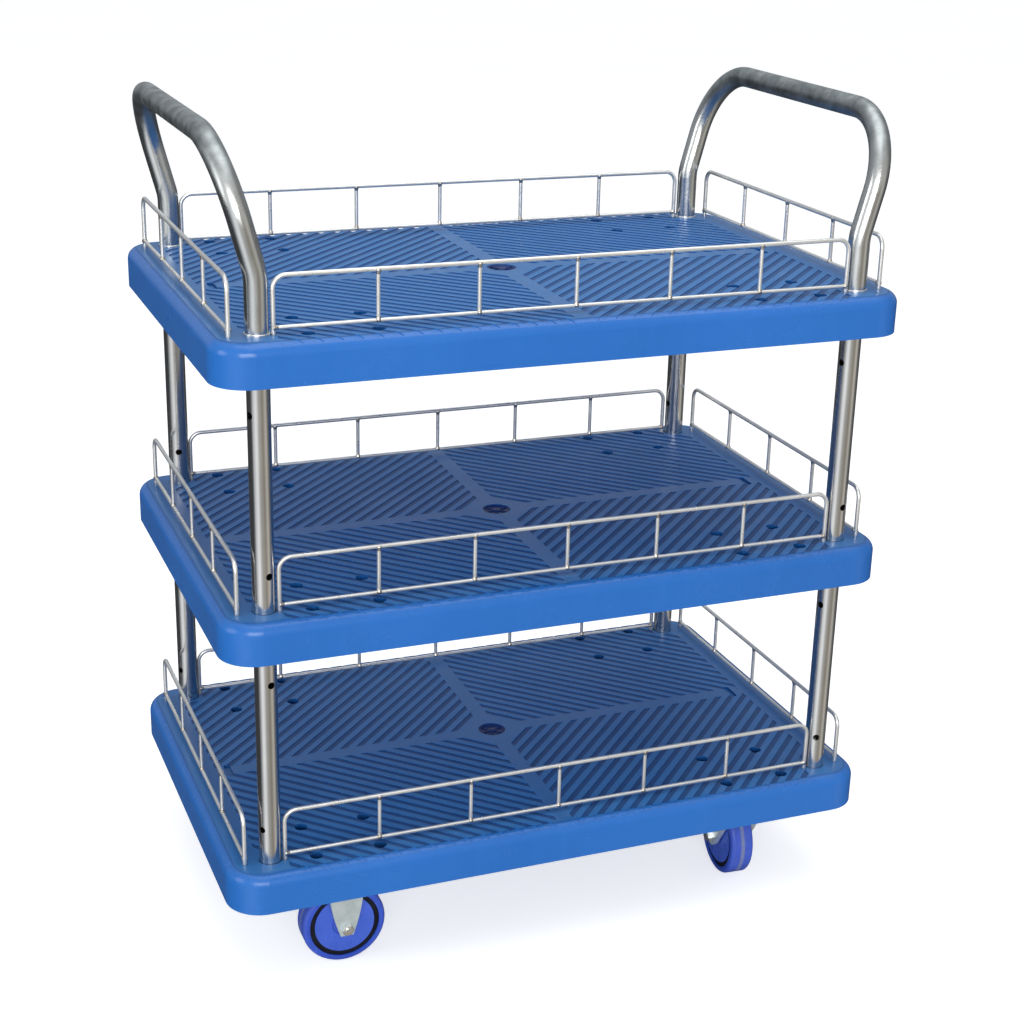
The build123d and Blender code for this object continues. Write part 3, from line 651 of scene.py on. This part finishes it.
def cap_rib(form, middle, turn, inner, outer):
    """One spoke of a cap: a bar with sloped sides and a rounded back."""
    out = Vector((math.cos(turn), math.sin(turn), 0))
    side = Vector((-out.y, out.x, 0))
    ends = []
    for reach in (inner, outer):
        row = []
        for x, z in cap_rib_outline:
            rise = Vector((0, 0, cap_rib_foot + (cap_rib_back - cap_rib_foot) * z))
            spot = middle + out * reach + side * (cap_rib_half_width * x) + rise
            row.append(form.verts.new(spot))
        ends.append(row)
    near, far = ends
    for k in range(len(cap_rib_outline) - 1):
        form.faces.new((near[k], near[k + 1], far[k + 1], far[k]))
    form.faces.new(near[::-1])
    form.faces.new(far)
    form.faces.new((near[0], far[0], far[-1], near[-1]))


def centre_caps():
    """Dished press-in caps with a raised middle and six spokes, one in each deck's recess."""
    form = bmesh.new()
    low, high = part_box("centre_caps")
    radius = (high.x - low.x) / 2
    mm = millimetre
    # From under the rim, over it and down the dish to the raised middle: (radius, height).
    outline = (
        (radius - 0.4 * mm, -2.95 * mm), (radius, -2.6 * mm), (radius, -1.1 * mm),
        (radius - 0.15 * mm, -0.75 * mm), (radius - 0.6 * mm, -0.6 * mm),
        (radius - 1.3 * mm, -0.6 * mm), (radius - 1.8 * mm, -0.85 * mm),
        (radius - 2.2 * mm, -1.7 * mm), (radius - 2.9 * mm, -2.25 * mm), (6.2 * mm, -2.3 * mm),
        (5.2 * mm, -1.9 * mm), (4.8 * mm, -1.1 * mm), (4.2 * mm, -0.8 * mm), (1.2 * mm, -0.75 * mm),
    )
    rib_start, rib_end = 4.6 * mm, radius - 1.9 * mm
    for level in levels:
        deck_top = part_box("deck_" + level)[1].z
        middle = Vector(((low.x + high.x) / 2, (low.y + high.y) / 2, deck_top))
        turned(form, outline, middle)
        for k in range(cap_ribs):
            turn = math.radians(cap_first_rib + 360 // cap_ribs * k)
            cap_rib(form, middle, turn, rib_start, rib_end)
    caps = place_mesh("ribbed_centre_caps", form, cap_blue())
    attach(caps, "root")
    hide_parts("centre_caps")


centre_caps()
weld_metal = weld_steel()
for level in levels:
    weld_rails(level, weld_metal)


# ---------------------------------------------------------------- room, light and camera

def lay_floor():
    """A pale floor past every view, hidden from reflections so that tubes mirror the walls."""
    mesh = bpy.data.meshes.new("floor")
    form = bmesh.new()
    bmesh.ops.create_circle(form, cap_ends=True, segments=96, radius=30.0)
    form.to_mesh(mesh)
    form.free()
    floor = bpy.data.objects.new("floor", mesh)
    bpy.context.scene.collection.objects.link(floor)
    floor.location.z = cart_low.z - 0.2 * millimetre
    material, w, shader, place = start_material("pale floor")
    tone = w.spread(w.noise(place, 1.1, 4.0), 0.3, 0.7)
    pale = w.mix(tone, (0.80, 0.805, 0.81, 1), (0.82, 0.822, 0.825, 1))
    glow = w.mix(tone, (0.98, 0.99, 1.0, 1), (1.0, 1.0, 1.0, 1))
    w.feed(shader.inputs["Base Color"], pale)
    w.feed(shader.inputs["Emission Color"], glow)
    eye = w.add("ShaderNodeLightPath").outputs["Is Camera Ray"]
    w.feed(shader.inputs["Emission Strength"], w.maths("MULTIPLY", eye, 0.60))
    shader.inputs["Roughness"].default_value = 0.8
    paint(floor, material)
    floor.visible_glossy = False


def ramp(wires, value, stops):
    """A colour ramp from (position, colour) stops."""
    node = wires.add("ShaderNodeValToRGB", Fac=value)
    band = node.color_ramp
    band.interpolation = "EASE"
    band.elements.remove(band.elements[-1])
    band.elements[0].position, band.elements[0].color = stops[0]
    for position, colour in stops[1:]:
        band.elements.new(position).color = colour
    return node.outputs[0]


def around(bands):
    """Ramp stops from bands of (degrees round from X, brightness, warmth)."""
    stops = []
    for angle, light, warmth in bands:
        colour = (light * (1 + 0.10 * warmth), light, light * (1 - 0.16 * warmth), 1)
        stops.append(((angle + 180) / 360, colour))
    return stops


low_walls = around((
    (-180, 0.20, -0.5), (-135, 1.10, -0.2), (-100, 0.45, 0.3), (-70, 0.30, 1.0),
    (-40, 0.60, 0.5), (-10, 0.15, 0.0), (30, 0.06, -0.5), (160, 0.06, -0.5),
))
high_walls = around((
    (-180, 0.50, -0.2), (-140, 0.90, 0.0), (-80, 0.60, 0.2), (-40, 0.60, 0.2),
    (-10, 0.25, 0.0), (70, 0.45, -0.6), (160, 0.40, -0.5),
))


def hang_room():
    """A white room for the eye, with the bright and dark walls that polished tubes mirror."""
    world = bpy.data.worlds.new("studio")
    world.use_nodes = True
    bpy.context.scene.world = world
    w = Wiring(world.node_tree)
    world.node_tree.nodes.clear()
    ray = w.add("ShaderNodeLightPath").outputs
    outward = w.add("ShaderNodeTexCoord").outputs["Generated"]
    direction = w.add("ShaderNodeSeparateXYZ", Vector=outward).outputs
    turn = w.maths("ARCTAN2", direction["Y"], direction["X"])
    turn = w.spread(turn, -math.pi, math.pi)
    height = direction["Z"]
    low, high = ramp(w, turn, low_walls), ramp(w, turn, high_walls)
    walls = w.mix(w.spread(height, -0.10, 0.12), low, high)
    mirrored = w.mix(w.spread(height, 0.50, 0.85), walls, (0.90, 0.93, 0.96, 1))
    soft = w.add("ShaderNodeBackground", Color=(0.93, 0.96, 1.0, 1), Strength=0.50)
    seen = w.add("ShaderNodeBackground", Color=(1.0, 1.0, 1.0, 1), Strength=1.0)
    glossy = w.add("ShaderNodeBackground", Color=mirrored, Strength=1.0)
    soft, seen, glossy = soft.outputs[0], seen.outputs[0], glossy.outputs[0]
    room = w.add("ShaderNodeMixShader", i0=ray["Is Glossy Ray"], i1=soft, i2=glossy).outputs[0]
    room = w.add("ShaderNodeMixShader", i0=ray["Is Camera Ray"], i1=room, i2=seen).outputs[0]
    w.add("ShaderNodeOutputWorld", Surface=room)


def softbox(name, place, aim, size, watts, tint):
    """A rectangular lamp that faces the aim."""
    data = bpy.data.lights.new(name, "AREA")
    data.shape = "RECTANGLE"
    data.size, data.size_y = size
    data.energy = watts
    data.color = tint
    lamp = bpy.data.objects.new(name, data)
    bpy.context.scene.collection.objects.link(lamp)
    lamp.location = place
    lamp.rotation_euler = (aim - place).to_track_quat("-Z", "Y").to_euler()


def set_lights():
    """One lamp in front, one overhead and a weaker one at the left."""
    centre = cart_middle
    front, overhead, left = Vector((-1.2, -3.6, 1.0)), Vector((0.2, -0.3, 3.2)), Vector((-3.4, -0.4, 0.9))
    softbox("front softbox", centre + front, centre, (2.4, 1.6), 72, (1.0, 0.99, 0.97))
    softbox("overhead softbox", centre + overhead, centre, (3.2, 2.6), 42, (0.97, 0.985, 1.0))
    softbox("left softbox", centre + left, centre, (1.4, 1.6), 20, (1.0, 0.99, 0.98))


def set_camera():
    """Looks down across the long side from the left, a little tilted in the hand."""
    azimuth, elevation, roll = (math.radians(angle) for angle in (-21.836, 20.284, 1.423))
    distance = 2.25
    aim = cart_middle + Vector((0.008, -0.040, -0.0125))
    flat = math.cos(elevation)
    back = Vector((math.sin(azimuth) * flat, -math.cos(azimuth) * flat, math.sin(elevation)))
    sideways = Vector((math.cos(azimuth), math.sin(azimuth), 0.0))
    upright = back.cross(sideways)
    right = sideways * math.cos(roll) + upright * math.sin(roll)
    up = upright * math.cos(roll) - sideways * math.sin(roll)
    data = bpy.data.cameras.new("camera")
    data.sensor_width = 36.0
    data.lens = 64.73
    data.shift_x, data.shift_y = -0.0024, -0.0017
    data.clip_end = 100.0
    camera = bpy.data.objects.new("camera", data)
    bpy.context.scene.collection.objects.link(camera)
    turn = Matrix((right, up, back)).transposed().to_4x4()
    camera.matrix_world = Matrix.Translation(aim + back * distance) @ turn
    bpy.context.scene.camera = camera


lay_floor()
hang_room()
set_lights()
set_camera()
bpy.context.scene.view_settings.view_transform = "Standard"
